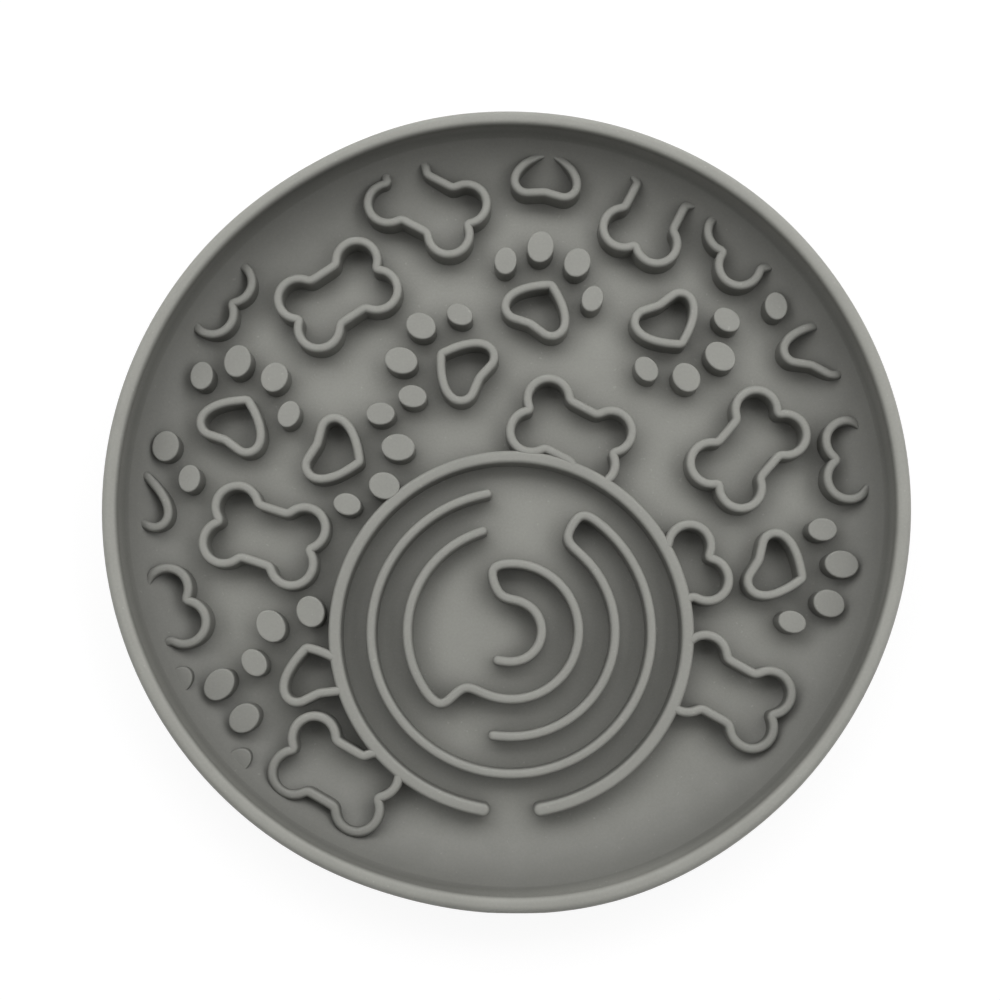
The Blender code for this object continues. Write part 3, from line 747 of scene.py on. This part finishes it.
def background_seen(tree):
    """One for rays that show the background itself: from the camera, a gloss or a clear piece."""
    path = tree.nodes.new("ShaderNodeLightPath")
    value = path.outputs["Is Camera Ray"]
    for output in ("Is Glossy Ray", "Is Transmission Ray"):
        value = combine(tree, "MAXIMUM", value, path.outputs[output])
    return value


def diffuse(tree, grey):
    node = tree.nodes.new("ShaderNodeBsdfDiffuse")
    node.inputs["Color"].default_value = (grey, grey, grey, 1.0)
    return node.outputs[0]


def floor_white():
    """White with a little shade to rays that show the background, and a plain pale floor to all others."""
    look = bpy.data.materials.new("floor_white")
    look.use_nodes = True
    tree = look.node_tree
    tree.nodes.clear()
    position = tree.nodes.new("ShaderNodeTexCoord").outputs["Object"]
    glow = tree.nodes.new("ShaderNodeEmission")
    tree.links.new(remap(tree, length_of(tree, position), *FLOOR_GLOW), glow.inputs["Strength"])
    both = tree.nodes.new("ShaderNodeAddShader")
    tree.links.new(diffuse(tree, FLOOR_SHADE), both.inputs[0])
    tree.links.new(glow.outputs[0], both.inputs[1])
    mix = tree.nodes.new("ShaderNodeMixShader")
    tree.links.new(background_seen(tree), mix.inputs["Fac"])
    tree.links.new(diffuse(tree, FLOOR_BOUNCE), mix.inputs[1])
    tree.links.new(both.outputs[0], mix.inputs[2])
    out = tree.nodes.new("ShaderNodeOutputMaterial")
    tree.links.new(mix.outputs[0], out.inputs["Surface"])
    return look


def make_floor():
    """A wide square under the mat."""
    corners = [(x * FLOOR_HALF, y * FLOOR_HALF, 0.0) for x, y in ((-1, -1), (1, -1), (1, 1), (-1, 1))]
    mesh = bpy.data.meshes.new("floor")
    mesh.from_pydata(corners, [], [(0, 1, 2, 3)])
    mesh.materials.append(floor_white())
    floor = bpy.data.objects.new("floor", mesh)
    bpy.context.scene.collection.objects.link(floor)


def make_world():
    """White behind the mat, and a weak even light on it."""
    world = bpy.data.worlds.new("studio")
    bpy.context.scene.world = world
    world.use_nodes = True
    tree = world.node_tree
    background = tree.nodes["Background"]
    background.inputs["Color"].default_value = (1.0, 1.0, 1.0, 1.0)
    strength = remap(tree, background_seen(tree), 0.0, 1.0, WORLD_LIGHT, 1.0)
    tree.links.new(strength, background.inputs["Strength"])


def make_lamp(name, at, size, watts):
    data = bpy.data.lights.new(name, "AREA")
    data.shape = "RECTANGLE"
    data.size, data.size_y = size
    data.energy = watts
    lamp = bpy.data.objects.new(name, data)
    lamp.location = at
    lamp.rotation_euler = (Vector(LAMP_AIM) - Vector(at)).to_track_quat("-Z", "Y").to_euler()
    bpy.context.scene.collection.objects.link(lamp)


def make_camera():
    data = bpy.data.cameras.new("camera")
    data.lens = CAMERA_LENS
    data.sensor_width = CAMERA_SENSOR
    data.clip_start = CAMERA_NEAR
    camera = bpy.data.objects.new("camera", data)
    tilt = math.radians(CAMERA_TILT_DEG)
    away = Vector((0.0, -math.sin(tilt), math.cos(tilt)))
    camera.location = Vector(CAMERA_AIM) + away * CAMERA_DISTANCE
    camera.rotation_euler = (tilt, 0.0, 0.0)
    bpy.context.scene.collection.objects.link(camera)
    bpy.context.scene.camera = camera


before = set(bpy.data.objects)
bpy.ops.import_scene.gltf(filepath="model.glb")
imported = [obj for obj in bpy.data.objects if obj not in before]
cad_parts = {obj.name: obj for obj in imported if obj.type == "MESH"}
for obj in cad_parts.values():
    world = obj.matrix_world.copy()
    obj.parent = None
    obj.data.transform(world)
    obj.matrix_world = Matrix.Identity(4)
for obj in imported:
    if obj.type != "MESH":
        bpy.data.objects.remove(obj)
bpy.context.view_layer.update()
bpy.context.scene.view_settings.view_transform = "Standard"
make_camera()
dish_look = silicone("silicone_dish", DISH_COLOUR_WITH_PAINTED_LIGHT, DISH_ROUGHNESS, DISH_PAINTED_LIGHT_BANDS)
wall_look = silicone("silicone_ridges", RAISED_COLOUR, RAISED_ROUGHNESS, WALL_PAINTED_LIGHT_BANDS)
stud_look = silicone("silicone_toes", RAISED_COLOUR, RAISED_ROUGHNESS, STUD_PAINTED_LIGHT_BANDS)
make_dish(dish_look)
make_cups(dish_look)
make_bones(wall_look)
make_paws(wall_look, stud_look)
make_maze(wall_look)
make_floor()
make_world()
for lamp_name, lamp_place, lamp_size, lamp_watts in LAMPS:
    make_lamp(lamp_name, lamp_place, lamp_size, lamp_watts)
